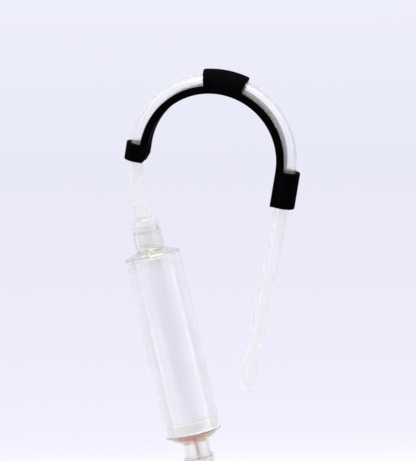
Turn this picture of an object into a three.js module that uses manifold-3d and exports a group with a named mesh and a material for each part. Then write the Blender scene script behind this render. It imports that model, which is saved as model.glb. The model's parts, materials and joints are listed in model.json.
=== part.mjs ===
// Gravel vacuum siphon: a clear settling chamber, a soft hose, and a black guide that hooks over a tank rim.
// Millimetres, +Z up. The origin is the highest point of the guide's inner curve, where it sits on the rim.
import * as THREE from "three";
import { mergeVertices } from "three/addons/utils/BufferGeometryUtils.js";
import Module from "manifold-3d";

const wasm = await Module();
wasm.setup();

// ---------------------------------------------------------------- driving dimensions
const GAP = 0.3; // clearance between pieces that touch
const BREAK = 0.6; // chamfer on the edges of the large turned pieces
const FINE = 32; // sides of the large turned pieces
const COARSE = 20; // sides of the small turned pieces

const HOSE = { outer: 8.0, inner: 6.0, sides: 10, steps: 60 }; // a 12/16 mm hose, as radii
const LINK = { leave: -14, down: 20, up: 16, seat: 58.0 }; // bend from the short leg to the barb
const CUFF = { open: 6.95, start: 43.9, ridge: 46.5, tip: 57.0, end: 62.0 }; // hose end over the barb
const TAIL = [
  [34.7, 0, -304.9],
  [43.0, 0, -260.1],
  [51.6, 0, -214.1],
  [60.5, 0, -168.1],
  [67.4, 0, -132.1],
]; // course of the free tail, from its open end, laid by hand
const GUIDE = {
  tilt: THREE.MathUtils.degToRad(9), // the whole guide leans this far to the tail's side
  arch: 77.0, // radius of the hose's centreline round the arch
  inner: 65.9, // radius of the face that sits on the tank rim
  wall: 73.6, // radius of the channel's lips
  halfWidth: 11.5,
  sleeve: 12.4, // outer radius of the loops round the hose
  bore: 8.5,
  edge: 1.2, // chamfer along the band
  longLoop: [0.5, -36.0], // loop on the tail's leg, from and to
  shortLoop: [-0.7, -18.6], // loop on the chamber's leg
  shortCut: { width: 3.0, height: 8.0, over: 4.0 }, // taken off the short leg's inner corner
  crownLoop: THREE.MathUtils.degToRad(30), // loop at the crown
};
const CHAMBER = {
  top: new THREE.Vector3(-60.6, -8.0, -170.7), // centre of the tube's top edge
  swing: THREE.MathUtils.degToRad(15), // towards the tail
  lean: THREE.MathUtils.degToRad(7), // foot towards the front
};
const TUBE = { outer: 28.5, inner: 25.5, length: 180 };
const SPIGOT = { outer: 25.0, inner: 22.8, depth: 10, lead: 0.8 }; // plug of each cap inside the tube
const RIM_SEAL = { inner: 25.3, outer: 28.2, thick: 1.0 };
const NECK = {
  outer: 14.2,
  bore: 11.3,
  rebate: 12.9, // outer radius of the top, inside the collar
  top: 33.0,
  base: 7.6, // where the shoulder meets the neck
  cove: 1.6,
  brim: 2.6, // radius of the shoulder's rounded edge
  web: 1.5, // underside of the shoulder, inside the tube
  shelf: 4.0, // seat of the gasket
  hole: 6.8,
};
const COLLAR = { outer: 14.4, skirt: 29.0, top: 42.5, hole: 8.8, taper: 4.0 };
const ADAPTER = {
  bore: 4.0,
  tip: 5.0, // thin lower end, inside the fish guard
  tipEnd: -6.0,
  shank: 10.7, // thick part that turns in the neck
  shankEnd: 7.0,
  flange: 12.8, // held down by the collar
  flangeTop: 36.0,
  stem: 8.2,
  stemTop: 43.4,
  root: 6.0, // foot of the barb
  ridges: [
    [6.6, 46.5],
    [6.4, 50.5],
    [6.2, 54.0],
  ], // radius and height of each
  barbEnd: 5.2,
  barbTop: 57.5,
};
const ORING = { centre: 9.95, section: 1.1, upper: 26.0, lower: 12.5 };
const GUARD = {
  outer: 6.3,
  inner: 5.3,
  top: 1.0,
  bottom: -16.0,
  floor: 1.2,
  slots: 6,
  slotWidth: 2.0,
  slotTop: -7.2,
  slotLength: 6.5,
};
const FUNNEL = {
  rim: 2.4, // height of the brim
  ledge: 2.8, // how deep the valve plate sits
  cone: 5.4, // height of the cone inside
  depth: 10.5, // height of the brim and the cone outside
  neckOuter: 13.4,
  neckBore: 10.8,
  neckEnd: 38.0,
};
const PLATE = { radius: 22.4, thick: 2.0, hub: 2.2, ports: 6, portRadius: 2.7, portCircle: 7.4 };
const PLATE_SEAL = { inner: 19.9, outer: 22.5, thick: 1.8 };
const VALVE = { cap: 11.5, dome: 2.6, stem: 1.6, bulb: 3.0, bulbLength: 4.0, lift: 4.0, stemLength: 30.0 };
const INTAKE = {
  tube: 13.4,
  bore: 11.2,
  socket: 13.75,
  sleeve: 15.2,
  bead: 15.9,
  beadHeight: 6.0,
  groove: 15.05,
  grooveTop: 2.0,
  grooveBottom: 4.0,
  start: 25.0,
  end: 138.0,
  notches: 4,
  notchRadius: 4.5,
};
const INTAKE_RING = { centre: 14.25, section: 0.55 };

// ---------------------------------------------------------------- materials
const looks = {
  satinBlack: { color: 0x0d0f12, roughness: 0.45, metalness: 0 },
  clearHose: { color: 0xe9ebec, roughness: 0.15, metalness: 0, transparent: true, opacity: 0.45 },
  clearPlastic: { color: 0xeef2f3, roughness: 0.05, metalness: 0, transparent: true, opacity: 0.3 },
  paleSilicone: { color: 0xf1f1ee, roughness: 0.5, metalness: 0 },
  honeySilicone: { color: 0xd9b56a, roughness: 0.5, metalness: 0 },
  redSilicone: { color: 0x7a2417, roughness: 0.5, metalness: 0 },
};

// ---------------------------------------------------------------- helpers
function toSolid(geometry) {
  const bare = geometry.index ? geometry.toNonIndexed() : geometry.clone();
  bare.deleteAttribute("normal");
  bare.deleteAttribute("uv");
  const merged = mergeVertices(bare, 1e-4);
  return new wasm.Manifold(
    new wasm.Mesh({
      numProp: 3,
      vertProperties: new Float32Array(merged.attributes.position.array),
      triVerts: new Uint32Array(merged.index.array),
    }),
  );
}

function toGeometry(solid) {
  const mesh = solid.getMesh();
  const geometry = new THREE.BufferGeometry();
  geometry.setAttribute("position", new THREE.BufferAttribute(mesh.vertProperties, 3));
  geometry.setIndex(new THREE.BufferAttribute(mesh.triVerts, 1));
  geometry.computeVertexNormals();
  return geometry;
}

// A closed profile of [radius, height] points, turned round the Z axis with its faces outwards.
function turned(profile, sides = FINE) {
  const area = profile.reduce((sum, [r, z], i) => {
    const [rNext, zNext] = profile[(i + 1) % profile.length];
    return sum + r * zNext - rNext * z;
  }, 0);
  const ordered = area > 0 ? [...profile] : [...profile].reverse();
  const onAxis = ordered.some(([r]) => r === 0);
  if (onAxis) {
    // starts and ends on the axis: turn the list until it begins there
    while (ordered[0][0] !== 0 || ordered[ordered.length - 1][0] !== 0) {
      ordered.push(ordered.shift());
    }
  } else {
    ordered.push(ordered[0]);
  }
  const points = ordered.map(([r, z]) => new THREE.Vector2(r, z));
  return new THREE.LatheGeometry(points, sides).rotateX(Math.PI / 2);
}

function circle(radius, sides) {
  const shape = new THREE.Shape();
  for (let i = 0; i < sides; i++) {
    const angle = (2 * Math.PI * i) / sides;
    const x = radius * Math.cos(angle);
    const y = radius * Math.sin(angle);
    if (i === 0) shape.moveTo(x, y);
    else shape.lineTo(x, y);
  }
  shape.closePath();
  return shape;
}

function arcPoints(radius, from, to, count) {
  return Array.from({ length: count + 1 }, (_, i) => {
    const angle = from + ((to - from) * i) / count;
    return [radius * Math.cos(angle), radius * Math.sin(angle)];
  });
}

// An arc of profile points round the centre, in [radius, height].
function roundedEdge(centreR, centreZ, radius, from, to, count = 4) {
  return arcPoints(radius, from, to, count).map(([r, z]) => [centreR + r, centreZ + z]);
}

function ringProfile(inner, outer, bottom, top) {
  return [
    [inner, bottom],
    [outer, bottom],
    [outer, top],
    [inner, top],
  ];
}

function oRing(centre, section, height, sides = 6) {
  return turned(roundedEdge(centre, height, section, 0, 2 * Math.PI * (1 - 1 / sides), sides - 1), COARSE);
}

function cylinderAlong(radius, length, sides = 12) {
  return new THREE.CylinderGeometry(radius, radius, length, sides).rotateX(Math.PI / 2);
}

function swept(shape, points, steps) {
  const curve = new THREE.CatmullRomCurve3(points, false, "centripetal");
  return new THREE.ExtrudeGeometry(shape, { steps, extrudePath: curve, bevelEnabled: false });
}

function piece(name, geometry, look) {
  const mesh = new THREE.Mesh(geometry, new THREE.MeshStandardMaterial(looks[look]));
  mesh.name = name;
  return mesh;
}

// ---------------------------------------------------------------- hose guide
// Built upright round the arch's centre, legs down, hose centreline in the XZ plane.
function guideOutline() {
  const { inner, wall, longLoop, shortLoop, edge } = GUIDE;
  const steps = 30;
  const longEnd = longLoop[1] + edge;
  const shortEnd = shortLoop[1] + edge;
  const outline = new THREE.Shape();
  outline.moveTo(wall - edge, longEnd);
  arcPoints(wall - edge, 0, Math.PI, steps).forEach(([x, z]) => outline.lineTo(x, z));
  outline.lineTo(-wall + edge, shortEnd);
  outline.lineTo(-inner - edge, shortEnd);
  arcPoints(inner + edge, Math.PI, 0, steps).forEach(([x, z]) => outline.lineTo(x, z));
  outline.lineTo(inner + edge, longEnd);
  outline.closePath();
  return outline;
}

function guideBand() {
  const { halfWidth, edge } = GUIDE;
  const flat = new THREE.ExtrudeGeometry(guideOutline(), {
    depth: 2 * (halfWidth - edge),
    bevelEnabled: true,
    bevelThickness: edge,
    bevelSize: edge,
    bevelSegments: 1,
    curveSegments: 1,
  });
  // outline XY becomes XZ, the extrusion runs along Y
  return flat.translate(0, 0, -(halfWidth - edge)).rotateX(Math.PI / 2);
}

function archPoint(angle) {
  return new THREE.Vector3(GUIDE.arch * Math.cos(angle), 0, GUIDE.arch * Math.sin(angle));
}

function loopAlong(points, steps, radius, sides) {
  return toSolid(swept(circle(radius, sides), points, steps));
}

// A wedge that takes the inner corner off the short leg's lower end.
function cornerCut() {
  const { inner, shortLoop, shortCut, halfWidth } = GUIDE;
  const { width, height, over } = shortCut;
  const end = shortLoop[1];
  const depth = 4 * halfWidth;
  const wedge = new THREE.Shape();
  wedge.moveTo(-inner + over, end + height * (1 + over / width));
  wedge.lineTo(-inner - width * 1.5, end - height * 0.5);
  wedge.lineTo(-inner + over, end - height * 0.5);
  wedge.closePath();
  const block = new THREE.ExtrudeGeometry(wedge, { depth, bevelEnabled: false });
  return block.translate(0, 0, -depth / 2).rotateX(Math.PI / 2);
}

function hoseGuide() {
  const { arch, sleeve, bore, longLoop, shortLoop, crownLoop } = GUIDE;
  const straight = (x, [from, to]) => [new THREE.Vector3(x, 0, from), new THREE.Vector3(x, 0, to)];
  const crown = Array.from({ length: 7 }, (_, i) => archPoint(Math.PI / 2 + crownLoop * (0.5 - i / 6)));
  // the bore's course runs past both ends of the guide
  const course = [new THREE.Vector3(-arch, 0, shortLoop[1] - bore)];
  for (let i = 0; i <= 30; i++) course.push(archPoint(Math.PI * (1 - i / 30)));
  course.push(new THREE.Vector3(arch, 0, longLoop[1] - bore));
  const solid = toSolid(guideBand())
    .add(loopAlong(crown, 5, sleeve, 20))
    .add(loopAlong(straight(-arch, shortLoop), 1, sleeve, 20))
    .add(loopAlong(straight(arch, longLoop), 1, sleeve, 20))
    .subtract(loopAlong(course, 34, bore, 16))
    .subtract(toSolid(cornerCut()));
  return toGeometry(solid);
}

// ---------------------------------------------------------------- turned pieces on the chamber's axis
// Heights are measured up the axis from the tube's top edge.
function hoseAdapter() {
  const { bore, tip, tipEnd, shank, shankEnd, flange, flangeTop, stem, stemTop, root } = ADAPTER;
  const groove = ORING.centre - ORING.section - GAP;
  const half = ORING.section + GAP;
  // each ridge stands out 1.2 below its height and tapers off to 2 above it
  const ridges = ADAPTER.ridges.flatMap(([r, z]) => [
    [r, z - 1.2],
    [r - 0.7, z + 2.0],
  ]);
  return turned(
    [
      [bore, tipEnd],
      [tip, tipEnd],
      [tip, shankEnd],
      [shank, shankEnd],
      [shank, ORING.lower - half],
      [groove, ORING.lower - half],
      [groove, ORING.lower + half],
      [shank, ORING.lower + half],
      [shank, ORING.upper - half],
      [groove, ORING.upper - half],
      [groove, ORING.upper + half],
      [shank, ORING.upper + half],
      [shank, NECK.top + GAP],
      [flange, NECK.top + GAP],
      [flange, flangeTop],
      [stem, flangeTop],
      [stem, stemTop],
      [root, stemTop + BREAK],
      ...ridges,
      [ADAPTER.barbEnd, ADAPTER.barbTop],
      [bore, ADAPTER.barbTop],
    ],
    COARSE,
  );
}

function swivelCollar() {
  const { outer, skirt, top, hole, taper } = COLLAR;
  const skirtBore = NECK.rebate + GAP;
  const seat = ADAPTER.flangeTop + GAP;
  return turned([
    [skirtBore, skirt],
    [outer - BREAK, skirt],
    [outer, skirt + BREAK],
    [outer, top - taper],
    [outer - taper * 0.8, top - taper * 0.2],
    [hole + taper * 0.4, top],
    [hole, top],
    [hole, seat],
    [skirtBore, seat],
  ]);
}

function topCap() {
  const { outer, bore, rebate, top, base, cove, brim, web, shelf, hole } = NECK;
  const flange = RIM_SEAL.thick + 2 * GAP;
  const step = COLLAR.skirt - GAP;
  return turned([
    [hole, web],
    [SPIGOT.inner, web],
    [SPIGOT.inner, -SPIGOT.depth],
    [SPIGOT.outer - 0.5, -SPIGOT.depth],
    [SPIGOT.outer, -SPIGOT.depth + SPIGOT.lead],
    [SPIGOT.outer, flange],
    ...roundedEdge(TUBE.outer - brim, flange, brim, 0, Math.PI / 2),
    [outer + cove, base],
    [outer, base + cove],
    [outer, step],
    [rebate, step],
    [rebate, top],
    [bore, top],
    [bore, shelf],
    [hole, shelf],
  ]);
}

function neckGasket() {
  const { tip, shankEnd } = ADAPTER;
  return turned(ringProfile(tip + GAP, NECK.bore - GAP, NECK.shelf + GAP, shankEnd - GAP), COARSE);
}

function rimSeal(bottom) {
  return turned(ringProfile(RIM_SEAL.inner, RIM_SEAL.outer, bottom, bottom + RIM_SEAL.thick));
}

function chamberTube() {
  const { outer, inner, length } = TUBE;
  return turned([
    [inner, -length],
    [outer - BREAK, -length],
    [outer, -length + BREAK],
    [outer, -BREAK],
    [outer - BREAK, 0],
    [inner, 0],
  ]);
}

function fishGuard() {
  const { outer, inner, top, bottom, slots, slotWidth, slotTop, slotLength } = GUARD;
  const floor = bottom + GUARD.floor;
  let solid = toSolid(
    turned(
      [
        [0, bottom],
        [outer - 1, bottom],
        [outer, bottom + 1],
        [outer, top],
        [inner, top],
        [inner, floor],
        [0, floor],
      ],
      COARSE,
    ),
  );
  for (let i = 0; i < slots / 2; i++) {
    const cut = new THREE.BoxGeometry(4 * outer, slotWidth, slotLength);
    cut.translate(0, 0, slotTop - slotLength / 2);
    solid = solid.subtract(toSolid(cut.rotateZ((Math.PI * (i + 0.5)) / (slots / 2))));
  }
  return toGeometry(solid);
}

// The heights below hang from the tube's bottom edge.
const FOOT = -TUBE.length;
const FLANGE = FOOT - RIM_SEAL.thick - 2 * GAP;
const LEDGE = FLANGE - FUNNEL.ledge;

function bottomCap() {
  const { neckOuter, neckBore, rim, depth, neckEnd, cone } = FUNNEL;
  return turned([
    [neckBore, FOOT - neckEnd],
    [neckOuter - 0.5, FOOT - neckEnd],
    [neckOuter, FOOT - neckEnd + 0.5],
    [neckOuter, FOOT - depth - 1.2],
    [neckOuter + 1.4, FOOT - depth],
    [TUBE.outer - 1.4, FOOT - rim - 0.9],
    [TUBE.outer, FOOT - rim],
    [TUBE.outer, FLANGE],
    [SPIGOT.outer, FLANGE],
    [SPIGOT.outer, FOOT + SPIGOT.depth - SPIGOT.lead],
    [SPIGOT.outer - 0.5, FOOT + SPIGOT.depth],
    [SPIGOT.inner, FOOT + SPIGOT.depth],
    [SPIGOT.inner, LEDGE],
    [PLATE_SEAL.inner - GAP, LEDGE],
    [neckBore, LEDGE - cone],
  ]);
}

const SEAL_TOP = LEDGE + GAP + PLATE_SEAL.thick;
const PLATE_BOTTOM = SEAL_TOP + GAP;
const PLATE_TOP = PLATE_BOTTOM + PLATE.thick;

function plateSeal() {
  return turned(ringProfile(PLATE_SEAL.inner, PLATE_SEAL.outer, LEDGE + GAP, SEAL_TOP));
}

function valvePlate() {
  const { radius, thick, hub, ports, portRadius, portCircle } = PLATE;
  let solid = toSolid(turned(ringProfile(hub, radius, PLATE_BOTTOM, PLATE_TOP)));
  for (let i = 0; i < ports; i++) {
    const angle = (2 * Math.PI * i) / ports;
    const port = cylinderAlong(portRadius, 4 * thick);
    port.translate(portCircle * Math.cos(angle), portCircle * Math.sin(angle), PLATE_BOTTOM);
    solid = solid.subtract(toSolid(port));
  }
  return toGeometry(solid);
}

function startValve() {
  const { cap, dome, stem, bulb, bulbLength, lift, stemLength } = VALVE;
  const seat = PLATE_TOP + GAP;
  const bulbTop = PLATE_BOTTOM - GAP - lift;
  return turned(
    [
      [0, FOOT - stemLength],
      [stem - 0.6, FOOT - stemLength],
      [stem, FOOT - stemLength + 1.0],
      [stem, bulbTop - bulbLength],
      [bulb, bulbTop - bulbLength * 0.3],
      [bulb, bulbTop - bulbLength * 0.15],
      [stem, bulbTop],
      [stem, seat],
      [cap, seat],
      [cap, seat + dome * 0.3],
      [cap * 0.7, seat + dome * 0.65],
      [cap * 0.3, seat + dome * 0.92],
      [0, seat + dome],
    ],
    COARSE,
  );
}

function intakeTube() {
  const { tube, bore, socket, sleeve, bead, beadHeight, groove, end, notches, notchRadius } = INTAKE;
  const ledge = FOOT - FUNNEL.neckEnd - GAP;
  const top = FOOT - INTAKE.start;
  const grooveTop = top - INTAKE.grooveTop;
  const grooveBottom = top - INTAKE.grooveBottom;
  let solid = toSolid(
    turned([
      [bore, FOOT - end],
      [tube, FOOT - end],
      [tube, ledge - 5.0],
      [sleeve, ledge - 2.0],
      [sleeve, top - beadHeight - 1.2],
      [bead, top - beadHeight],
      [bead, top - BREAK],
      [bead - BREAK, top],
      [socket, top],
      [socket, grooveTop],
      [groove, grooveTop],
      [groove, grooveBottom],
      [socket, grooveBottom],
      [socket, ledge],
      [bore, ledge],
    ]),
  );
  // the notches keep the mouth from sealing against the gravel bed
  for (let i = 0; i < notches / 2; i++) {
    const notch = new THREE.CylinderGeometry(notchRadius, notchRadius, 4 * tube, 16);
    notch.translate(0, 0, FOOT - end);
    solid = solid.subtract(toSolid(notch.rotateZ((Math.PI * i) / (notches / 2))));
  }
  return toGeometry(solid);
}

function intakeSeal() {
  const { start, grooveTop, grooveBottom } = INTAKE;
  return oRing(INTAKE_RING.centre, INTAKE_RING.section, FOOT - start - (grooveTop + grooveBottom) / 2);
}

// ---------------------------------------------------------------- hose
const guideFrame = new THREE.Matrix4()
  .makeRotationY(GUIDE.tilt)
  .setPosition(0, 0, -GUIDE.inner);
const chamberTurn = new THREE.Euler(-CHAMBER.lean, -CHAMBER.swing, 0, "YXZ");
const chamberAxis = new THREE.Vector3(0, 0, 1).applyEuler(chamberTurn);

const onGuide = (x, z) => new THREE.Vector3(x, 0, z).applyMatrix4(guideFrame);
const onAxis = (height) => chamberAxis.clone().multiplyScalar(height).add(CHAMBER.top);

// From the tail's open end the hose rises to the guide, follows it, and bends smoothly down to the barb.
function hoseRoute() {
  const route = TAIL.map((p) => new THREE.Vector3(...p));
  route.push(onGuide(GUIDE.arch, -30), onGuide(GUIDE.arch, -15));
  for (let i = 0; i <= 18; i++) {
    const angle = (Math.PI * i) / 18;
    route.push(onGuide(GUIDE.arch * Math.cos(angle), GUIDE.arch * Math.sin(angle)));
  }
  const link = new THREE.CubicBezierCurve3(
    onGuide(-GUIDE.arch, LINK.leave),
    onGuide(-GUIDE.arch, LINK.leave - LINK.down),
    onAxis(LINK.seat + LINK.up),
    onAxis(LINK.seat),
  );
  route.push(...link.getPoints(4));
  return route;
}

function hose() {
  const section = circle(HOSE.outer, HOSE.sides);
  section.holes.push(circle(HOSE.inner, HOSE.sides));
  const run = toSolid(swept(section, hoseRoute(), HOSE.steps));
  // the last stretch is pushed over the barb and stands open by the barb's taper
  const wall = HOSE.outer - HOSE.inner;
  const cuff = turned(
    [
      [HOSE.inner, CUFF.end],
      [HOSE.inner + 0.2, CUFF.tip],
      [CUFF.open, CUFF.ridge],
      [CUFF.open, CUFF.start],
      [CUFF.open + wall, CUFF.start],
      [CUFF.open + wall, CUFF.ridge],
      [HOSE.outer + 0.2, CUFF.tip + 1.0],
      [HOSE.outer, CUFF.end],
    ],
    COARSE,
  );
  cuff.applyMatrix4(new THREE.Matrix4().makeRotationFromEuler(chamberTurn).setPosition(CHAMBER.top));
  return toGeometry(run.add(toSolid(cuff)));
}

// ---------------------------------------------------------------- assembly
const siphon = new THREE.Group();
siphon.add(piece("hose", hose(), "clearHose"));

const guide = new THREE.Group();
guide.applyMatrix4(guideFrame);
guide.add(piece("hose_guide", hoseGuide(), "satinBlack"));
siphon.add(guide);

const chamber = new THREE.Group();
chamber.position.copy(CHAMBER.top);
chamber.rotation.copy(chamberTurn);
chamber.add(
  piece("hose_adapter", hoseAdapter(), "clearPlastic"),
  piece("adapter_oring_upper", oRing(ORING.centre, ORING.section, ORING.upper), "paleSilicone"),
  piece("adapter_oring_lower", oRing(ORING.centre, ORING.section, ORING.lower), "paleSilicone"),
  piece("fish_guard", fishGuard(), "clearPlastic"),
  piece("swivel_collar", swivelCollar(), "clearPlastic"),
  piece("neck_gasket", neckGasket(), "honeySilicone"),
  piece("top_cap", topCap(), "clearPlastic"),
  piece("top_cap_seal", rimSeal(GAP), "paleSilicone"),
  piece("chamber_tube", chamberTube(), "clearPlastic"),
  piece("bottom_cap_seal", rimSeal(FOOT - GAP - RIM_SEAL.thick), "paleSilicone"),
  piece("bottom_cap", bottomCap(), "clearPlastic"),
  piece("valve_plate_seal", plateSeal(), "redSilicone"),
  piece("valve_plate", valvePlate(), "clearPlastic"),
  piece("start_valve", startValve(), "redSilicone"),
  piece("intake_tube", intakeTube(), "clearPlastic"),
  piece("intake_seal", intakeSeal(), "redSilicone"),
);
siphon.add(chamber);

export default siphon;
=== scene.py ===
"""Looks of the gravel vacuum siphon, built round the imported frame.

Lengths are in millimetres until a mesh is made, unless a comment says metres.
"""

import json
import math

import bmesh
import bpy
from mathutils import Matrix, Vector


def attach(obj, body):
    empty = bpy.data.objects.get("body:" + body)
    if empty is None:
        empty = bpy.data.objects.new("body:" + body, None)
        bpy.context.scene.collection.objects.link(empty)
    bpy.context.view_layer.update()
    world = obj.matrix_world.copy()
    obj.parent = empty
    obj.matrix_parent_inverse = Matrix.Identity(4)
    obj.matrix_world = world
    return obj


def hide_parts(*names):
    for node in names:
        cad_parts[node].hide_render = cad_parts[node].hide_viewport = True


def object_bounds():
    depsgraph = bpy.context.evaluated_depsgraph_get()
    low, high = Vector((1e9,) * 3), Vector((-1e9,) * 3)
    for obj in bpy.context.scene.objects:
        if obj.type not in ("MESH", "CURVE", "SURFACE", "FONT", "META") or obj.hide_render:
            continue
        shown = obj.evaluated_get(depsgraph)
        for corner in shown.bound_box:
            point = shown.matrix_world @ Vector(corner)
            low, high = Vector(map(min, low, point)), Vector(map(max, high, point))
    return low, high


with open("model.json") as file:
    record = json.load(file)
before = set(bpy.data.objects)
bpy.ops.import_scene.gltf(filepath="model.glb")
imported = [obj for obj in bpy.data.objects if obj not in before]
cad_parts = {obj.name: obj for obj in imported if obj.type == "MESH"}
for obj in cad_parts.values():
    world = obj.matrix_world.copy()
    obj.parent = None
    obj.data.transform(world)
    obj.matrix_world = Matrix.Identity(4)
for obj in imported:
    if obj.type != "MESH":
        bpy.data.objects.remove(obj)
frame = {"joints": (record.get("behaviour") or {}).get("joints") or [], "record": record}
cad_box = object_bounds()

MM = 0.001  # metres

# ---------------------------------------------------------------- dimensions shared with the CAD
HOSE_OUTER = 8.0
HOSE_INNER = 6.0
GUIDE_TILT = math.radians(9)
# Radii of the arch: the hose's centreline, the guide's inner face and the edge of its lips.
ARCH = 77.0
GUIDE_INNER = 65.9
GUIDE_WALL = 73.6
GUIDE_HALF_WIDTH = 11.5
GUIDE_SLEEVE = 12.4  # the loops' outer radius, round the hose
GUIDE_BORE = 8.5
LONG_LOOP = (0.5, -36.0)  # where a leg's loop starts and ends, from the arch's end
SHORT_LOOP = (-0.7, -18.6)
SHORT_CUT = (3.0, 8.0)  # width and height of what is cut off the short leg's inner corner
CROWN_LOOP = math.radians(30)
FOOT = -180.0  # the tube's lower edge, measured along the chamber's axis from its upper edge
INTAKE_MOUTH = FOOT - 138.0
CUFF_START = 43.9  # heights on the chamber's axis: the hose's end on the barb, and the barb's tip
HOSE_SEAT = 58.0

swivel = next(j for j in frame["joints"] if j["name"] == "chamber_swivel")
chamber_top = Vector(swivel["pos_m"])
chamber_up = Vector(swivel["axis"]).normalized()


def axis_frame():
    """The chamber's own frame: Z up its axis, Y near the row's Y, origin at the tube's upper edge."""
    side = Vector((0, 1, 0)).cross(chamber_up).normalized()
    ahead = chamber_up.cross(side)
    turn = Matrix((side, ahead, chamber_up)).transposed().to_4x4()
    return Matrix.Translation(chamber_top) @ turn


chamber_frame = axis_frame()
guide_frame = Matrix.Translation((0, 0, -GUIDE_INNER * MM)) @ Matrix.Rotation(GUIDE_TILT, 4, "Y")


def on_guide(x, z):
    """A point in the guide's plane, as metres in the scene."""
    return guide_frame @ Vector((x * MM, 0, z * MM))


def on_axis(height):
    """A point on the chamber's axis, as metres in the scene."""
    return chamber_top + chamber_up * (height * MM)


# ---------------------------------------------------------------- camera
IMAGE_HEIGHT = 461  # the photo's, at one millimetre per pixel
CAMERA_AZIMUTH = math.radians(12)
CAMERA_ELEVATION = math.radians(13)
CAMERA_DISTANCE = 3.0  # metres, as is the reach
CAMERA_REACH = 100
SENSOR = 36.0
AIM_RIGHT = -0.0052  # metres across the picture from the centre of the guide's arch
AIM_UP = -0.0736


def make_camera():
    ca, sa = math.cos(CAMERA_AZIMUTH), math.sin(CAMERA_AZIMUTH)
    ce, se = math.cos(CAMERA_ELEVATION), math.sin(CAMERA_ELEVATION)
    right = Vector((ca, sa, 0))
    up = Vector((-sa * se, ca * se, ce))
    back = Vector((sa * ce, -ca * ce, se))
    target = Vector((0, 0, -GUIDE_INNER * MM)) + right * AIM_RIGHT + up * AIM_UP
    data = bpy.data.cameras.new("camera")
    data.sensor_width = SENSOR
    data.lens = SENSOR * CAMERA_DISTANCE / (IMAGE_HEIGHT * MM)
    data.clip_end = CAMERA_REACH
    camera = bpy.data.objects.new("camera", data)
    bpy.context.scene.collection.objects.link(camera)
    turn = Matrix((right, up, back)).transposed().to_4x4()
    camera.matrix_world = Matrix.Translation(target + back * CAMERA_DISTANCE) @ turn
    bpy.context.scene.camera = camera


make_camera()


# ---------------------------------------------------------------- mesh helpers
WELD = 1e-7  # metres
SHARP_ANGLE = math.radians(32)
STRAIGHT_ANGLE = math.radians(172)  # a flatter corner isn't rounded
FILLET_SHARE = 0.45  # the most of an edge that one corner's rounding takes
FILLET_STEPS = 4


def mesh_object(name, vertices, faces, matrix=None):
    """A mesh piece from vertices in metres, faces turned outwards and sharp edges kept."""
    mesh = bpy.data.meshes.new(name)
    mesh.from_pydata(vertices, [], faces)
    bm = bmesh.new()
    bm.from_mesh(mesh)
    bmesh.ops.remove_doubles(bm, verts=bm.verts, dist=WELD)
    bmesh.ops.recalc_face_normals(bm, faces=bm.faces)
    bm.to_mesh(mesh)
    bm.free()
    obj = link_mesh(name, mesh)
    if matrix is not None:
        obj.matrix_world = matrix
    shade(obj)
    return obj


def link_mesh(name, mesh):
    obj = bpy.data.objects.new(name, mesh)
    bpy.context.scene.collection.objects.link(obj)
    return obj


def shade(obj):
    obj.data.shade_smooth()
    obj.data.set_sharp_from_angle(angle=SHARP_ANGLE)


def filleted(profile, radius, closed=True):
    """The profile with its corners rounded, as far as the edges leave room.

    A point's third number, where it has one, is that corner's own radius.
    """
    count = len(profile)
    made = []
    for i, point in enumerate(profile):
        corner = Vector(point[:2])
        own = point[2] if len(point) > 2 else radius
        if own <= 0 or (not closed and i in (0, count - 1)):
            made.append(tuple(corner))
            continue
        before = Vector(profile[i - 1][:2]) - corner
        after = Vector(profile[(i + 1) % count][:2]) - corner
        room = FILLET_SHARE * min(before.length, after.length)
        before.normalize()
        after.normalize()
        angle = before.angle(after)
        if angle > STRAIGHT_ANGLE:
            made.append(tuple(corner))
            continue
        reach = min(own / math.tan(angle / 2), room)
        start, end = corner + before * reach, corner + after * reach
        for k in range(FILLET_STEPS + 1):
            t = k / FILLET_STEPS
            made.append(tuple(start * (1 - t) ** 2 + corner * 2 * t * (1 - t) + end * t**2))
    return made


def circle(radius, sides):
    turns = [2 * math.pi * k / sides for k in range(sides)]
    return [(radius * math.cos(t), radius * math.sin(t)) for t in turns]


def skin(rings):
    """Quads between each ring of vertex numbers and the next."""
    faces = []
    for low, high in zip(rings, rings[1:]):
        for k in range(len(low)):
            n = (k + 1) % len(low)
            faces.append([low[k], low[n], high[n], high[k]])
    return faces


def ring_indices(layers, count, first=0):
    """The vertex numbers of a stack of like rings, one list for each ring."""
    return [[first + i * count + k for k in range(count)] for i in range(layers)]


def ring_at(frame_here, points):
    """A flat outline set square to a path: frame_here is a place, a Y direction and an outward one."""
    place, across, out = frame_here
    return [place + across * (a * MM) + out * (o * MM) for a, o in points]


def lathe(name, profile, radius=0.4, sides=128, matrix=chamber_frame):
    """A profile of (radius, height) points turned round the chamber's axis.

    The profile starts and ends on the axis, or closes on itself.
    """
    on_the_axis = profile[0][0] == 0 and profile[-1][0] == 0
    vertices = []
    rings = []
    for r, z in filleted(profile, radius, closed=not on_the_axis):
        if r == 0:
            rings.append([len(vertices)] * sides)
            vertices.append((0, 0, z * MM))
            continue
        rings.append(range(len(vertices), len(vertices) + sides))
        vertices += [(x * MM, y * MM, z * MM) for x, y in circle(r, sides)]
    if not on_the_axis:
        rings.append(rings[0])
    faces = []
    for quad in skin(rings):
        face = [v for j, v in enumerate(quad) if v not in quad[:j]]
        if len(face) > 2:
            faces.append(face)
    return mesh_object(name, vertices, faces, matrix)


def prism(name, vertices, matrix):
    """A solid between two like outlines, given one after the other."""
    count = len(vertices) // 2
    near, far = range(count), range(count, 2 * count)
    faces = [list(near), list(far)[::-1]]
    for k in range(count):
        n = (k + 1) % count
        faces.append([near[k], near[n], far[n], far[k]])
    return mesh_object(name, vertices, faces, matrix)


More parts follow.
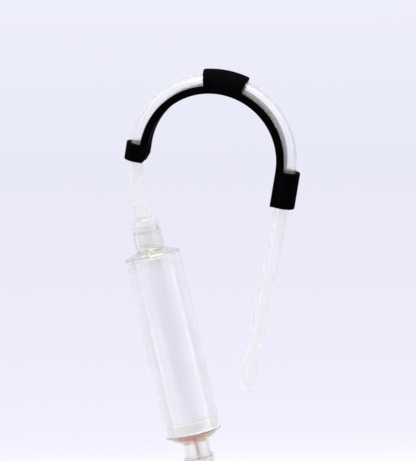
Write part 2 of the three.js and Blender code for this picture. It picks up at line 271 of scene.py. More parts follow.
def cut(obj, cutter):
    """Cuts a solid out of the piece, and removes the cutter."""
    modifier = obj.modifiers.new("cut", "BOOLEAN")
    modifier.operation = "DIFFERENCE"
    modifier.solver = "EXACT"
    modifier.object = cutter
    apply_modifiers(obj)
    bpy.data.objects.remove(cutter)
    shade(obj)
    return obj


def apply_modifiers(obj):
    bpy.context.view_layer.update()
    depsgraph = bpy.context.evaluated_depsgraph_get()
    made = bpy.data.meshes.new_from_object(obj.evaluated_get(depsgraph))
    obj.modifiers.clear()
    obj.data = made


# ---------------------------------------------------------------- material helpers
# A tone pair holds the darker and the lighter colour of a noise cloud.
BLACK_TONES = ((0.0004, 0.0005, 0.0006), (0.0012, 0.0014, 0.0017))
BARREL_TONES = ((0.993, 0.995, 0.989), (0.997, 0.998, 0.994))
FITTING_TONES = ((0.97, 0.978, 0.945), (0.985, 0.99, 0.96))
CAP_TONES = ((0.955, 0.957, 0.922), (0.967, 0.969, 0.933))
FUNNEL_TONES = ((0.975, 0.968, 0.945), (0.985, 0.98, 0.962))
MILKY_TONES = ((0.992, 0.99, 0.985), (1.0, 0.998, 0.995))
HOSE_TONES = ((0.93, 0.935, 0.915), (0.955, 0.96, 0.94))
PALE_TONES = ((0.96, 0.96, 0.95), (0.99, 0.99, 0.98))
FAINT_TONES = ((0.94, 0.94, 0.92), (0.97, 0.97, 0.955))
HONEY_TONES = ((0.93, 0.86, 0.45), (0.96, 0.9, 0.55))
RED_TONES = ((0.5, 0.13, 0.03), (0.62, 0.2, 0.07))
STEM_TONES = ((0.72, 0.36, 0.3), (0.82, 0.46, 0.4))
# Painted reflection of the red seal in the funnel's cone: amber to orange-brown tones.
SEAL_REFLECTION_TONES = ((0.5, 0.09, 0.008), (0.88, 0.48, 0.1))

SEAL_REFLECTION_REACH = (11.0, 2.4)  # how far under the tube's lower edge the cone's painted reflection of the red seal ends and starts
SEAL_REFLECTION_STRENGTH = ((0.0, 0.0), (0.25, 0.7), (0.75, 1.0), (1.0, 0.0))  # along that reach, upwards
PLASTIC_IOR = 1.49
VINYL_IOR = 1.5
SILICONE_IOR = 1.41
GLOSSY = (0.25, 0.4)  # a silicone's range of roughness
# The colour sockets of a Mix node, which share their names with its other sockets.
MIX_A, MIX_B, MIX_RESULT = 6, 7, 2


def new_material(name):
    material = bpy.data.materials.new(name)
    material.use_nodes = True
    tree = material.node_tree
    return material, tree.nodes, tree.links, tree.nodes["Principled BSDF"]


def object_noise(nodes, links, scale, detail=3.0, stretch=(1, 1, 1)):
    """Noise in the piece's own space. scale is in features per metre."""
    coordinates = nodes.new("ShaderNodeTexCoord")
    mapping = nodes.new("ShaderNodeMapping")
    mapping.inputs["Scale"].default_value = stretch
    noise = nodes.new("ShaderNodeTexNoise")
    noise.inputs["Scale"].default_value = scale
    noise.inputs["Detail"].default_value = detail
    links.new(coordinates.outputs["Object"], mapping.inputs["Vector"])
    links.new(mapping.outputs["Vector"], noise.inputs["Vector"])
    return noise.outputs["Fac"]


def object_height(nodes, links, direction):
    """How far a point of the piece lies along a direction."""
    coordinates = nodes.new("ShaderNodeTexCoord")
    height = nodes.new("ShaderNodeVectorMath")
    height.operation = "DOT_PRODUCT"
    height.inputs[1].default_value = direction
    links.new(coordinates.outputs["Object"], height.inputs[0])
    return height.outputs["Value"]


def mapped(nodes, links, value, low, high, start=0.3, end=0.7):
    """A value's range from start to end, moved to low and high. Noise lies mostly within 0.3 to 0.7."""
    span = nodes.new("ShaderNodeMapRange")
    span.inputs["From Min"].default_value = start
    span.inputs["From Max"].default_value = end
    span.inputs["To Min"].default_value = low
    span.inputs["To Max"].default_value = high
    links.new(value, span.inputs["Value"])
    return span.outputs["Result"]


def bumped(nodes, links, shader, height, distance):
    """Raises the surface by the height times the distance, in metres."""
    bump = nodes.new("ShaderNodeBump")
    bump.inputs["Strength"].default_value = 1.0
    bump.inputs["Distance"].default_value = distance
    links.new(height, bump.inputs["Height"])
    links.new(bump.outputs["Normal"], shader.inputs["Normal"])


def colour_ramp(nodes, links, value, stops):
    """A ramp through (position, colour) stops, the first and the last of which are its own two."""
    ramp = nodes.new("ShaderNodeValToRGB")
    for element, (position, colour) in zip(ramp.color_ramp.elements, (stops[0], stops[-1])):
        element.position = position
        element.color = (*colour, 1)
    for position, colour in stops[1:-1]:
        ramp.color_ramp.elements.new(position).color = (*colour, 1)
    links.new(value, ramp.inputs["Fac"])
    return ramp.outputs["Color"]


def toned(nodes, links, value, tones, spread=0.15):
    """The two tones of a cloud, which meet within the spread on either side of its middle."""
    return colour_ramp(nodes, links, value, ((0.5 - spread, tones[0]), (0.5 + spread, tones[1])))


# ---------------------------------------------------------------- materials
def satin_black():
    """Moulded black plastic: a fine even grain, softly uneven gloss."""
    material, nodes, links, shader = new_material("satin_black")
    cloud = object_noise(nodes, links, 90)
    links.new(toned(nodes, links, cloud, BLACK_TONES), shader.inputs["Base Color"])
    links.new(mapped(nodes, links, cloud, 0.7, 0.8), shader.inputs["Roughness"])
    bumped(nodes, links, shader, object_noise(nodes, links, 1800, detail=2), 0.00006)
    shader.inputs["Specular IOR Level"].default_value = 0.01
    return material


def clear_plastic(name, tones, transmission, alpha, coat, wave=60, wave_height=0.00004):
    """Clear moulded plastic with a faint waviness and a little handling haze.

    The alpha lets part of the light straight through, which keeps the outlines as faint as in the photo.
    """
    material, nodes, links, shader = new_material(name)
    cloud = object_noise(nodes, links, 25)
    links.new(toned(nodes, links, cloud, tones), shader.inputs["Base Color"])
    shader.inputs["Transmission Weight"].default_value = transmission
    shader.inputs["Alpha"].default_value = alpha
    shader.inputs["Coat Weight"].default_value = coat
    shader.inputs["IOR"].default_value = PLASTIC_IOR
    haze = object_noise(nodes, links, 40, detail=5, stretch=(1, 1, 0.35))
    links.new(mapped(nodes, links, haze, 0.01, 0.06), shader.inputs["Roughness"])
    bumped(nodes, links, shader, object_noise(nodes, links, wave, detail=1), wave_height)
    return material


def cone_plastic():
    """Clear plastic whose cone carries a painted reflection of the red seal: an uneven amber tint in its
    colour.
    """
    material = clear_plastic("clear_funnel", FUNNEL_TONES, transmission=0.97, alpha=0.85, coat=0.6)
    nodes, links = material.node_tree.nodes, material.node_tree.links
    shader = nodes["Principled BSDF"]
    plain = shader.inputs["Base Color"].links[0].from_socket
    # A painted reflection of the red seal: an amber band in the cone's colour, below the tube's lower edge.
    foot = chamber_top.dot(chamber_up) + FOOT * MM
    low, high = (foot - reach * MM for reach in SEAL_REFLECTION_REACH)
    height = mapped(nodes, links, object_height(nodes, links, chamber_up), 0, 1, low, high)
    band = colour_ramp(nodes, links, height, [(place, (share,) * 3) for place, share in SEAL_REFLECTION_STRENGTH])
    cloud = object_noise(nodes, links, 70, detail=2, stretch=(0.6, 1, 2))
    mix = nodes.new("ShaderNodeMix")
    mix.data_type = "RGBA"
    links.new(band, mix.inputs["Factor"])
    links.new(plain, mix.inputs[MIX_A])
    links.new(toned(nodes, links, cloud, SEAL_REFLECTION_TONES, spread=0.1), mix.inputs[MIX_B])
    links.new(mix.outputs[MIX_RESULT], shader.inputs["Base Color"])
    return material


def clear_hose():
    """Soft clear vinyl: slightly milky, less polished than the hard plastic."""
    material, nodes, links, shader = new_material("clear_hose")
    cloud = object_noise(nodes, links, 35)
    links.new(toned(nodes, links, cloud, HOSE_TONES), shader.inputs["Base Color"])
    shader.inputs["Transmission Weight"].default_value = 0.75
    shader.inputs["Alpha"].default_value = 0.32
    shader.inputs["IOR"].default_value = VINYL_IOR
    haze = object_noise(nodes, links, 60, detail=2)
    links.new(mapped(nodes, links, haze, 0.1, 0.14), shader.inputs["Roughness"])
    bumped(nodes, links, shader, object_noise(nodes, links, 30, detail=1), 0.000002)
    return material


def silicone(name, tones, transmission, roughness=(0.35, 0.5), alpha=1.0):
    """Translucent moulded silicone."""
    material, nodes, links, shader = new_material(name)
    cloud = object_noise(nodes, links, 160)
    links.new(toned(nodes, links, cloud, tones), shader.inputs["Base Color"])
    links.new(mapped(nodes, links, cloud, *roughness), shader.inputs["Roughness"])
    bumped(nodes, links, shader, object_noise(nodes, links, 900, detail=2), 0.00004)
    shader.inputs["Transmission Weight"].default_value = transmission
    shader.inputs["Alpha"].default_value = alpha
    shader.inputs["IOR"].default_value = SILICONE_IOR
    return material


LOOKS = {
    "satin_black": satin_black(),
    "clear_plastic": clear_plastic("clear_plastic", BARREL_TONES, 1.0, 0.5, 1.0, 30, 0.00001),
    "clear_fitting": clear_plastic("clear_fitting", FITTING_TONES, 0.93, 0.3, 0.6),
    "clear_cap": clear_plastic("clear_cap", CAP_TONES, 0.97, 0.85, 0.6),
    "clear_funnel": cone_plastic(),
    "milky_plastic": clear_plastic("milky_plastic", MILKY_TONES, 0.25, 0.75, 0.3),
    "clear_hose": clear_hose(),
    "pale_silicone": silicone("pale_silicone", PALE_TONES, 0.5, GLOSSY),
    "faint_silicone": silicone("faint_silicone", FAINT_TONES, 0.92, GLOSSY, 0.4),
    "honey_silicone": silicone("honey_silicone", HONEY_TONES, 0.85, alpha=0.7),
    "red_silicone": silicone("red_silicone", RED_TONES, 0.2),
    "stem_silicone": silicone("stem_silicone", STEM_TONES, 0.85, alpha=0.5),
}


def finish_piece(obj, node, look):
    """Paints a piece, and lets it stand for its CAD node on that node's body.
    """
    body = next(b for b, nodes in frame["record"]["behaviour"]["bodies"].items() if node in nodes)
    bpy.context.view_layer.update()
    obj.data.transform(obj.matrix_world)
    obj.matrix_world = Matrix.Identity(4)
    obj.data.materials.clear()
    obj.data.materials.append(LOOKS[look])
    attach(obj, body)
    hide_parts(node)
    return obj


# ---------------------------------------------------------------- hose
TAIL = ((34.7, -304.9), (43.0, -260.1), (51.6, -214.1), (60.5, -168.1), (67.4, -132.1))  # x, z
LONG_LEG = (-30, -15)  # heights, from the arch's end, where the hose follows the guide's long leg
ARCH_STEPS = 18
# The link runs from the short leg to the barb: where it leaves, and how straight it leaves and arrives.
LINK_LEAVE = -14.0
LINK_DOWN = 20.0
LINK_UP = 16.0
LINK_STEPS = 4
CURVE_PIECES = 24
HOSE_SAMPLES = 300
CUFF_SAMPLES = 28
LINK_SAMPLE = 280  # only samples after this one can lie on the barb
HOSE_SIDES = 40
HOSE_EDGE = 0.35
# Height on the chamber's axis, and how far the hose's wall stands out there over the barb's ridges.
CUFF_SWELL = (
    (62.0, 0.0), (57.5, 0.1), (52.8, 0.5), (51.5, 0.45), (49.3, 0.7), (48.0, 0.65), (45.3, 0.95), (43.9, 0.9),
)


def catmull_rom(points, samples):
    """A centripetal Catmull-Rom curve through the points, as evenly spaced samples."""
    first = points[0] * 2 - points[1]
    last = points[-1] * 2 - points[-2]
    line = [first, *points, last]
    fine = []
    for a, b, c, d in zip(line, line[1:], line[2:], line[3:]):
        ab, bc, cd = ((q - p).length ** 0.5 for p, q in ((a, b), (b, c), (c, d)))
        start = ((b - a) / ab - (c - a) / (ab + bc) + (c - b) / bc) * bc
        end = ((c - b) / bc - (d - b) / (bc + cd) + (d - c) / cd) * bc
        for k in range(CURVE_PIECES):
            t = k / CURVE_PIECES
            fine.append(
                b * (2 * t**3 - 3 * t**2 + 1)
                + start * (t**3 - 2 * t**2 + t)
                + c * (3 * t**2 - 2 * t**3)
                + end * (t**3 - t**2)
            )
    fine.append(points[-1])
    return evenly(fine, samples)


def evenly(line, samples):
    """The same line as a number of points at equal distances along it."""
    reach = [0.0]
    for a, b in zip(line, line[1:]):
        reach.append(reach[-1] + (b - a).length)
    made = []
    k = 0
    for i in range(samples):
        goal = reach[-1] * i / (samples - 1)
        while k < len(line) - 2 and reach[k + 1] < goal:
            k += 1
        share = (goal - reach[k]) / max(reach[k + 1] - reach[k], 1e-12)
        made.append(line[k].lerp(line[k + 1], min(share, 1.0)))
    return made


def hose_route():
    """Points from the hose's bare end, over the guide, to the mouth of its cuff on the barb."""
    route = [Vector((x * MM, 0, z * MM)) for x, z in TAIL]
    route += [on_guide(ARCH, z) for z in LONG_LEG]
    for i in range(ARCH_STEPS + 1):
        angle = math.pi * i / ARCH_STEPS
        route.append(on_guide(ARCH * math.cos(angle), ARCH * math.sin(angle)))
    a, b = on_guide(-ARCH, LINK_LEAVE), on_guide(-ARCH, LINK_LEAVE - LINK_DOWN)
    c, d = on_axis(HOSE_SEAT + LINK_UP), on_axis(HOSE_SEAT)
    for i in range(LINK_STEPS + 1):
        t = i / LINK_STEPS
        route.append(a * (1 - t) ** 3 + b * 3 * t * (1 - t) ** 2 + c * 3 * t**2 * (1 - t) + d * t**3)
    return route


def along(path):
    """Frames along a path near the XZ plane: each point, Y made square to the path, and outwards."""
    frames = []
    for i, place in enumerate(path):
        before = path[max(i - 1, 0)]
        after = path[min(i + 1, len(path) - 1)]
        ahead = (after - before).normalized()
        out = Vector((0, 1, 0)).cross(ahead).normalized()
        across = ahead.cross(out)
        frames.append((place, across, out))
    return frames


def swell_at(height):
    """How far the hose's wall stands out at a height on the chamber's axis."""
    for (h0, s0), (h1, s1) in zip(CUFF_SWELL, CUFF_SWELL[1:]):
        if h1 <= height <= h0:
            share = (h0 - height) / (h0 - h1)
            share = share * share * (3 - 2 * share)
            return s0 + (s1 - s0) * share
    return 0.0 if height > CUFF_SWELL[0][0] else CUFF_SWELL[-1][1]


def make_hose():
    path = catmull_rom(hose_route(), HOSE_SAMPLES)
    cuff = CUFF_START - HOSE_SEAT
    path += [on_axis(HOSE_SEAT + cuff * (i + 1) / CUFF_SAMPLES) for i in range(CUFF_SAMPLES)]
    vertices = []
    outer_rings, inner_rings = [], []
    for i, frame_here in enumerate(along(path)):
        height = (path[i] - chamber_top).dot(chamber_up) / MM
        swell = swell_at(height) if i > LINK_SAMPLE else 0.0
        trim = HOSE_EDGE if i in (0, len(path) - 1) else 0.0
        for rings, radius in (
            (outer_rings, HOSE_OUTER + swell - trim),
            (inner_rings, HOSE_INNER + swell + trim),
        ):
            rings.append(range(len(vertices), len(vertices) + HOSE_SIDES))
            vertices += ring_at(frame_here, circle(radius, HOSE_SIDES))
    faces = skin(outer_rings) + skin(inner_rings)
    faces += skin([outer_rings[0], inner_rings[0]]) + skin([outer_rings[-1], inner_rings[-1]])
    hose = mesh_object("siphon_hose", vertices, faces)
    finish_piece(hose, "hose", "clear_hose")


make_hose()


# ---------------------------------------------------------------- hose guide
# The guide is made in its own frame, legs down, so that its flat sides lie square to the remesh grid.
LIP_EDGE = 0.9
BACK_EDGE = 1.1
SEAT_STEPS = 18
BAND_STEPS = 200
LOOP_SIDES = 72
WEDGE_OVER = 4.0  # how far the corner's cutter runs on past the guide's inner face


def guide_frames(marks):
    """Centreline points and outward directions.

    A mark under 0 is on the long leg, one over pi times ARCH on the short leg.
    """
    frames = []
    for s in marks:
        angle = min(max(s / ARCH, 0.0), math.pi)
        below = min(s, 0.0) + min(math.pi * ARCH - s, 0.0)
        place = Vector((ARCH * math.cos(angle), 0, ARCH * math.sin(angle) + below)) * MM
        frames.append((place, Vector((0, 1, 0)), Vector((math.cos(angle), 0, math.sin(angle)))))
    return frames


def channel_section():
    """The band's section: a flat back, two lips, and the hose's seat between them."""
    back = GUIDE_INNER - ARCH
    lip = GUIDE_WALL - ARCH
    half = GUIDE_HALF_WIDTH
    seat = math.acos(-lip / GUIDE_BORE)
    arc = []
    for i in range(SEAT_STEPS + 1):
        angle = seat - 2 * seat * i / SEAT_STEPS
        arc.append((GUIDE_BORE * math.sin(angle), -GUIDE_BORE * math.cos(angle), 0))
    edges = [(-half, lip, LIP_EDGE), (-half, back, BACK_EDGE), (half, back, BACK_EDGE), (half, lip, LIP_EDGE)]
    return filleted(edges + arc, 0)


def guide_band():
    ring = channel_section()
    low, high = LONG_LOOP[1], math.pi * ARCH - SHORT_LOOP[1]
    marks = [low + (high - low) * i / BAND_STEPS for i in range(BAND_STEPS + 1)]
    layers = [ring_at(f, ring) for f in guide_frames(marks)]
    vertices = [v for layer in layers for v in layer]
    rings = ring_indices(len(layers), len(ring))
    faces = skin(rings) + [rings[0][::-1], rings[-1]]
    return mesh_object("guide_band", vertices, faces)


def sleeve(name, start, end, steps):
    """A loop of the guide round the hose."""
    frames = guide_frames([start + (end - start) * i / steps for i in range(steps + 1)])
    outer = [v for f in frames for v in ring_at(f, circle(GUIDE_SLEEVE, LOOP_SIDES))]
    inner = [v for f in frames for v in ring_at(f, circle(GUIDE_BORE, LOOP_SIDES))]
    outer_rings = ring_indices(steps + 1, LOOP_SIDES)
    inner_rings = ring_indices(steps + 1, LOOP_SIDES, len(outer))
    faces = skin(outer_rings) + skin(inner_rings)
    faces += skin([outer_rings[0], inner_rings[0]]) + skin([outer_rings[-1], inner_rings[-1]])
    return mesh_object(name, outer + inner, faces)


def corner_wedge():
    """What is cut off the short leg's inner corner."""
    width, height = SHORT_CUT
    end = SHORT_LOOP[1]
    below = end - height * 0.5
    corners = [
        (-GUIDE_INNER + WEDGE_OVER, end + height * (1 + WEDGE_OVER / width)),
        (-GUIDE_INNER - width * 1.5, below),
        (-GUIDE_INNER + WEDGE_OVER, below),
    ]
    reach = 2 * GUIDE_HALF_WIDTH
    vertices = [Vector((x, y, z)) * MM for y in (-reach, reach) for x, z in corners]
    return prism("wedge", vertices, Matrix.Identity(4))


def moulded(name, parts, voxel, smoothing, keep):
    """Overlapping solids grown into one, with the soft inside and outside corners of a moulding.

    keep is the share of the remesh's faces that stay.
    """
    bm = bmesh.new()
    for part in parts:
        bm.from_mesh(part.data)
    mesh = bpy.data.meshes.new(name)
    bm.to_mesh(mesh)
    bm.free()
    for part in parts:
        bpy.data.objects.remove(part)
    obj = link_mesh(name, mesh)
    grow = obj.modifiers.new("grow", "REMESH")
    grow.mode = "VOXEL"
    grow.voxel_size = voxel * MM
    soften = obj.modifiers.new("soften", "SMOOTH")
    soften.factor = 0.5
    soften.iterations = smoothing
    thin = obj.modifiers.new("thin", "DECIMATE")
    thin.ratio = keep
    apply_modifiers(obj)
    obj.data.shade_smooth()
    return obj


def make_guide():
    half_crown = CROWN_LOOP * ARCH / 2
    top = math.pi * ARCH / 2
    short_end = math.pi * ARCH
    short = sleeve("short_loop", short_end - SHORT_LOOP[0], short_end - SHORT_LOOP[1], 8)
    parts = [
        cut(guide_band(), corner_wedge()),
        cut(short, corner_wedge()),
        sleeve("long_loop", LONG_LOOP[1], LONG_LOOP[0], 12),
        sleeve("crown_loop", top - half_crown, top + half_crown, 24),
    ]
    guide = moulded("rim_guide", parts, voxel=0.4, smoothing=5, keep=0.4)
    guide.matrix_world = guide_frame
    finish_piece(guide, "hose_guide", "satin_black")


make_guide()


# ---------------------------------------------------------------- turned pieces
# Profiles are (radius, height) points, some with a corner radius of their own.
ADAPTER = [
    (4.0, -6.0), (5.0, -6.0), (5.0, 7.0), (10.7, 7.0), (10.7, 11.1), (8.55, 11.1), (8.55, 13.9),
    (10.7, 13.9), (10.7, 24.6), (8.55, 24.6), (8.55, 27.4), (10.7, 27.4), (10.7, 33.3), (12.8, 33.3),
    (12.8, 36.0), (8.2, 36.0), (8.2, 43.4), (6.0, 44.0), (6.6, 45.3), (5.9, 48.5), (6.4, 49.3),
    (5.7, 52.5), (6.2, 52.8), (5.5, 56.0), (5.2, 57.5), (4.0, 57.5),
]
COLLAR = [
    (13.2, 29.0), (13.8, 29.0), (14.4, 29.6), (14.4, 38.5, 1.2), (11.2, 41.7, 1.2), (10.4, 42.5),
    (8.8, 42.5), (8.8, 36.3), (13.2, 36.3),
]
CAP = [
    (6.8, 1.5), (22.8, 1.5, 0.15), (25.0, 1.6, 0.15), (28.5, 1.6, 0.15), (28.3, 2.6, 0.6), (27.7, 3.4, 0.6),
    (26.9, 4.0, 0.6), (25.9, 4.2, 0.6), (15.8, 7.6, 0.8), (14.2, 9.2, 0.8), (14.2, 28.7, 0.2),
    (12.9, 28.7, 0.15), (12.9, 33.0), (11.3, 33.0), (11.3, 4.0), (6.8, 4.0),
]
CAP_PLUG = [(22.8, 1.4, 0.15), (22.8, -10.0), (24.5, -10.0), (25.0, -9.2), (25.0, 1.4, 0.15)]
BARREL = [(25.5, FOOT), (27.9, FOOT), (28.5, FOOT + 0.6), (28.5, -0.6), (27.9, 0.0), (25.5, 0.0)]
FUNNEL = [
    (10.8, FOOT - 38.0), (12.9, FOOT - 38.0), (13.4, FOOT - 37.5), (13.4, FOOT - 11.7, 1.2),
    (14.8, FOOT - 10.5, 1.2), (27.1, FOOT - 3.3, 0.8), (28.5, FOOT - 2.4, 0.8), (28.5, FOOT - 1.6),
    (25.0, FOOT - 1.6, 0.15), (22.8, FOOT - 1.6, 0.15), (22.8, FOOT - 4.4, 0.2), (19.6, FOOT - 4.4, 0.6),
    (10.8, FOOT - 9.8, 1.2),
]
FUNNEL_PLUG = [
    (22.8, FOOT - 1.5, 0.15), (25.0, FOOT - 1.5, 0.15), (25.0, FOOT + 9.2), (24.5, FOOT + 10.0),
    (22.8, FOOT + 10.0),
]
VALVE_STEM = [
    (0, FOOT - 30.0), (1.0, FOOT - 30.0), (1.6, FOOT - 29.0), (1.6, FOOT - 10.3), (3.0, FOOT - 7.5, 0.8),
    (3.0, FOOT - 6.9, 0.3), (1.6, FOOT - 6.3), (1.6, FOOT + 0.25, 0.1), (0, FOOT + 0.25),
]
VALVE_CAP = [
    (0, FOOT + 0.3), (11.5, FOOT + 0.3), (11.5, FOOT + 1.1), (8.0, FOOT + 2.0, 1.5),
    (3.5, FOOT + 2.7, 1.5), (0, FOOT + 2.9),
]
GUARD = [
    (0, -16.0), (5.3, -16.0, 0.6), (6.3, -15.0, 0.8), (6.3, 1.0), (5.3, 1.0), (5.3, -14.8, 0.6), (0, -14.8),
]
INTAKE = [
    (11.2, INTAKE_MOUTH), (13.4, INTAKE_MOUTH), (13.4, FOOT - 43.3, 1.5), (15.2, FOOT - 40.3, 1.5),
    (15.2, FOOT - 32.2, 0.8), (15.9, FOOT - 31.0), (15.9, FOOT - 25.6), (15.3, FOOT - 25.0),
    (13.75, FOOT - 25.0), (13.75, FOOT - 27.0, 0.2), (15.05, FOOT - 27.0, 0.2), (15.05, FOOT - 29.0, 0.2),
    (13.75, FOOT - 29.0, 0.2), (13.75, FOOT - 38.3, 0.3), (11.2, FOOT - 38.3, 0.3),
]
PORTS = 6
PORT_RADIUS = 2.7
PORT_CIRCLE = 7.4
PORT_REACH = 4.0
GUARD_CUTS = 3  # each makes two slots
NOTCHES = 2


def ring_profile(inner, outer, bottom, top):
    return [(inner, bottom), (outer, bottom), (outer, top), (inner, top)]


def round_ring(centre, section, height, count=16):
    """An O-ring's profile: its section is round, so no corner is rounded further."""
    step = 2 * math.pi / count
    return [
        (centre + section * math.cos(i * step), height + section * math.sin(i * step), 0)
        for i in range(count)
    ]


def make_head():
    adapter = lathe("barbed_adapter", ADAPTER, 0.35, sides=96)
    finish_piece(adapter, "hose_adapter", "clear_fitting")
    for name, height in (("adapter_oring_upper", 26.0), ("adapter_oring_lower", 12.5)):
        ring = lathe(name + "_ring", round_ring(9.95, 1.1, height), sides=96)
        finish_piece(ring, name, "faint_silicone")
    collar = lathe("swivel_collar_nut", COLLAR, 0.3)
    finish_piece(collar, "swivel_collar", "clear_fitting")
    gasket = lathe("neck_gasket_ring", ring_profile(5.3, 11.0, 4.3, 6.7))
    finish_piece(gasket, "neck_gasket", "honey_silicone")
    cap = lathe("chamber_cap", CAP, 0.35)
    finish_piece(cap, "top_cap", "clear_cap")
    plug = lathe("chamber_cap_plug", CAP_PLUG, 0.35)
    finish_piece(plug, "top_cap", "clear_fitting")


def make_barrel():
    for name, bottom in (("top_cap_seal", 0.3), ("bottom_cap_seal", FOOT - 1.3)):
        ring = lathe(name + "_ring", ring_profile(25.3, 28.2, bottom, bottom + 1.0), 0.3)
        finish_piece(ring, name, "pale_silicone")
    finish_piece(lathe("chamber_barrel", BARREL, sides=160), "chamber_tube", "clear_plastic")


def make_foot():
    funnel = lathe("funnel_cap", FUNNEL, 0.35)
    finish_piece(funnel, "bottom_cap", "clear_funnel")
    seal = lathe("valve_plate_ring", ring_profile(19.9, 22.5, FOOT - 4.1, FOOT - 2.3), 0.5)
    finish_piece(seal, "valve_plate_seal", "red_silicone")
    plug = lathe("funnel_cap_plug", FUNNEL_PLUG, 0.35)
    finish_piece(plug, "bottom_cap", "milky_plastic")
    plate = lathe("port_plate", ring_profile(2.2, 22.4, FOOT - 2.0, FOOT), 0.35)
    for i in range(PORTS):
        cut(plate, port_cutter(2 * math.pi * i / PORTS))
    finish_piece(plate, "valve_plate", "clear_fitting")


def port_cutter(angle):
    """A round bar through the valve's plate."""
    profile = [(0, -PORT_REACH), (PORT_RADIUS, -PORT_REACH, 0), (PORT_RADIUS, PORT_REACH, 0), (0, PORT_REACH)]
    radius = PORT_CIRCLE * MM
    place = Matrix.Translation((radius * math.cos(angle), radius * math.sin(angle), (FOOT - 2) * MM))
    return lathe("port", profile, sides=32, matrix=chamber_frame @ place)


def make_valve():
    stem = lathe("start_valve_stem", VALVE_STEM, sides=64)
    finish_piece(stem, "start_valve", "stem_silicone")
    cap = lathe("start_valve_cap", VALVE_CAP, sides=96)
    finish_piece(cap, "start_valve", "faint_silicone")


def make_guard():
    guard = lathe("fish_guard_basket", GUARD, 0.3, sides=64)
    for i in range(GUARD_CUTS):
        cut(guard, slot_cutter(math.pi * (i + 0.5) / GUARD_CUTS))
    finish_piece(guard, "fish_guard", "clear_fitting")


def slot_cutter(angle):
    """A flat bar with round ends that cuts two of the guard's slots."""
    width, low, high, reach, steps = 1.0, -13.7, -7.2, 13.0, 8
    outline = []
    for centre, start in ((high - width, 0), (low + width, math.pi)):
        for k in range(steps + 1):
            turn = start + math.pi * k / steps
            outline.append((width * math.cos(turn), centre + width * math.sin(turn)))
    vertices = [(x * MM, y * MM, z * MM) for x in (-reach, reach) for y, z in outline]
    return prism("slot", vertices, chamber_frame @ Matrix.Rotation(angle, 4, "Z"))


def make_intake():
    intake = lathe("gravel_intake", INTAKE, 0.45)
    for i in range(NOTCHES):
        cut(intake, notch_cutter(math.pi * i / NOTCHES))
    finish_piece(intake, "intake_tube", "clear_plastic")
    seal = lathe("intake_seal_ring", round_ring(14.25, 0.55, FOOT - 28.0, 12))
    finish_piece(seal, "intake_seal", "stem_silicone")


def notch_cutter(angle):
    """A round bar across the intake's mouth."""
    radius, reach, sides = 4.5, 27.0, 48
    outline = circle(radius, sides)
    vertices = [(x * MM, y * MM, (INTAKE_MOUTH + z) * MM) for x in (-reach, reach) for y, z in outline]
    quarter = Matrix.Rotation(math.pi / 2, 4, "Z")
    return prism("notch", vertices, chamber_frame @ Matrix.Rotation(angle, 4, "Z") @ quarter)


make_head()
make_barrel()
make_foot()
make_valve()
make_guard()
make_intake()


# ---------------------------------------------------------------- studio
FLOOR_GAP = 0.03  # metres between the floor and the part's lowest point
FLOOR_HALF = 14.0
FLOOR_RUN = (-0.3, 1, 0)  # the direction along which the floor's level changes
FLOOR_GLOW = 1.095
FLOOR_STOPS = (  # metres along that direction, and the level there
    (-3.7, (0.66, 0.66, 0.76)),
    (-0.7, (0.7, 0.7, 0.8)),
    (0.3, (0.93, 0.92, 0.94)),
    (0.5, (0.78, 0.775, 0.87)),
    (0.8, (0.75, 0.745, 0.85)),
    (1.4, (0.73, 0.725, 0.835)),
    (2.15, (0.72, 0.72, 0.825)),
    (3.1, (0.745, 0.745, 0.85)),
    (4.0, (0.77, 0.77, 0.865)),
)
WORLD_PALE = (0.84, 0.84, 0.91)
WORLD_DARK = (0.0, 0.0, 0.0)
WORLD_TURN = (0.5, 0.85)  # how squarely a direction faces the front where the dimming starts and ends
LIGHT_AIM = (-0.02, 0, -0.2)
LIGHTS = (  # name, place, width and height in metres, watts
    ("softbox_left", (-1.6, 0.1, 0.1), 1.4, 1.8, 3),
    ("softbox_right", (1.6, 0.1, 0.1), 1.4, 1.8, 3),
    ("softbox_top", (0.1, -0.4, 1.9), 1.6, 1.6, 80),
    ("softbox_front", (-0.9, -1.5, 1.5), 0.8, 0.8, 25),
)
BOUNCES = 32
CLEAR_BOUNCES = 64  # the clear walls stand many deep, and each one takes some


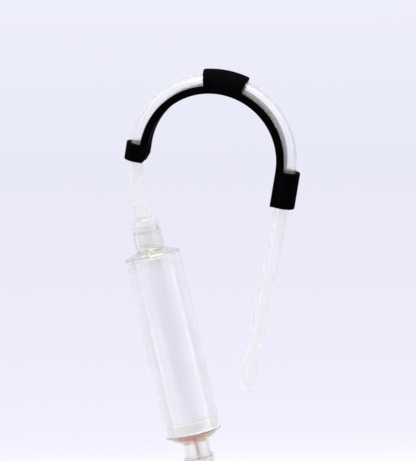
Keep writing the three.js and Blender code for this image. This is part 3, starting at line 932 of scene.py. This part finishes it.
def make_floor():
    """A pale, softly glowing floor, brightest close behind the part."""
    level = cad_box[0].z - FLOOR_GAP
    half = FLOOR_HALF
    mesh = bpy.data.meshes.new("floor")
    corners = [(-half, -half, level), (half, -half, level), (half, half, level), (-half, half, level)]
    mesh.from_pydata(corners, [], [(0, 1, 2, 3)])
    floor = link_mesh("floor", mesh)
    material, nodes, links, shader = new_material("floor")
    shader.inputs["Base Color"].default_value = (0.02, 0.02, 0.02, 1)
    shader.inputs["Roughness"].default_value = 0.9
    shader.inputs["Specular IOR Level"].default_value = 0.0
    near, far = FLOOR_STOPS[0][0], FLOOR_STOPS[-1][0]
    stops = [((place - near) / (far - near), colour) for place, colour in FLOOR_STOPS]
    reach = mapped(nodes, links, object_height(nodes, links, FLOOR_RUN), 0, 1, near, far)
    links.new(colour_ramp(nodes, links, reach, stops), shader.inputs["Emission Color"])
    shader.inputs["Emission Strength"].default_value = FLOOR_GLOW
    mesh.materials.append(material)


def make_light(name, place, width, height, power):
    data = bpy.data.lights.new(name, "AREA")
    data.shape = "RECTANGLE"
    data.size = width
    data.size_y = height
    data.energy = power
    light = bpy.data.objects.new(name, data)
    bpy.context.scene.collection.objects.link(light)
    light.location = place
    light.rotation_euler = (Vector(LIGHT_AIM) - Vector(place)).to_track_quat("-Z", "Y").to_euler()
    light.visible_camera = False


def make_world():
    """Pale surroundings that turn dark on the front side."""
    world = bpy.data.worlds.new("studio")
    bpy.context.scene.world = world
    world.use_nodes = True
    nodes, links = world.node_tree.nodes, world.node_tree.links
    coordinates = nodes.new("ShaderNodeTexCoord")
    facing = nodes.new("ShaderNodeVectorMath")
    facing.operation = "DOT_PRODUCT"
    facing.inputs[1].default_value = (math.sin(CAMERA_AZIMUTH), -math.cos(CAMERA_AZIMUTH), 0.1)
    links.new(coordinates.outputs["Generated"], facing.inputs[0])
    stops = list(zip(WORLD_TURN, (WORLD_PALE, WORLD_DARK)))
    level = colour_ramp(nodes, links, facing.outputs["Value"], stops)
    links.new(level, nodes["Background"].inputs["Color"])


def make_studio():
    make_world()
    for light in LIGHTS:
        make_light(*light)
    scene = bpy.context.scene
    scene.view_settings.view_transform = "Standard"
    scene.cycles.max_bounces = BOUNCES
    scene.cycles.transmission_bounces = BOUNCES
    scene.cycles.transparent_max_bounces = CLEAR_BOUNCES


make_floor()
make_studio()
